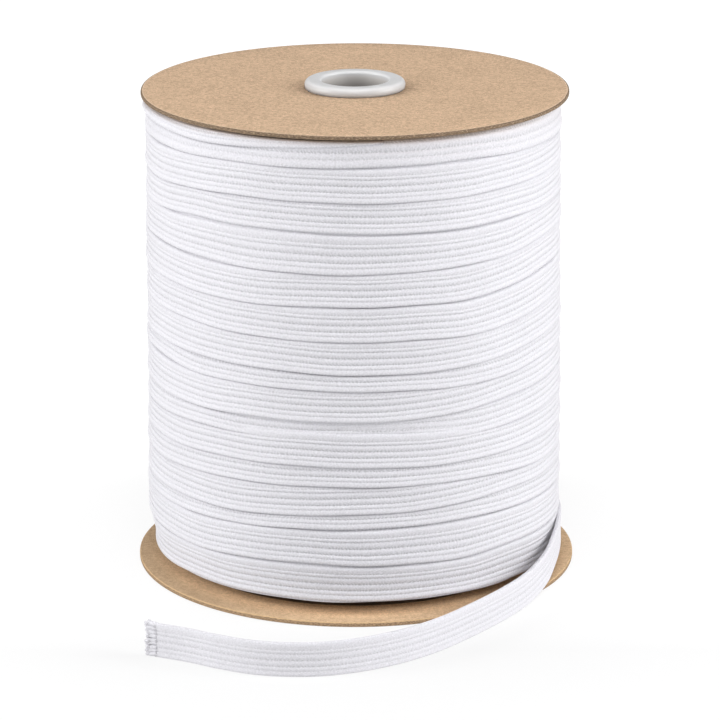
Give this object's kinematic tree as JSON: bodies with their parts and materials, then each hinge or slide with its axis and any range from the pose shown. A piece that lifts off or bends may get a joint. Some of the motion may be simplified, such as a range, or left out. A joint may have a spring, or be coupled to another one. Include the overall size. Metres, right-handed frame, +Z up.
{
  "type": "roll of flat braided elastic on a spool",
  "caption": "Spool of flat braided elastic wound on a plastic core between cardboard discs, with a loose end; stands flat or takes a spindle through its bore.",
  "frame": {"origin": "centre of the bottom disc's underside, on the surface that the roll stands on", "axes": "+Z up along the core's axis; -Y to the front, where the loose end lies; +X to the right, where the band leaves the roll"},
  "size_m": [0.0778, 0.101, 0.087],
  "materials": {
    "elastic": "white braided yarn with lengthwise ribs, matt with a faint sheen",
    "top_card": "smooth brown chipboard with fine fibres",
    "bottom_card": "smooth brown chipboard with fine fibres and a rough cut edge",
    "core_plastic": "white, slightly see-through moulded plastic"
  },
  "bodies": {
    "root": {"bottom_disc": "bottom_card", "top_disc": "top_card", "core": "core_plastic", "winding": "elastic", "loose_end": "elastic"}
  },
  "joints": []
}
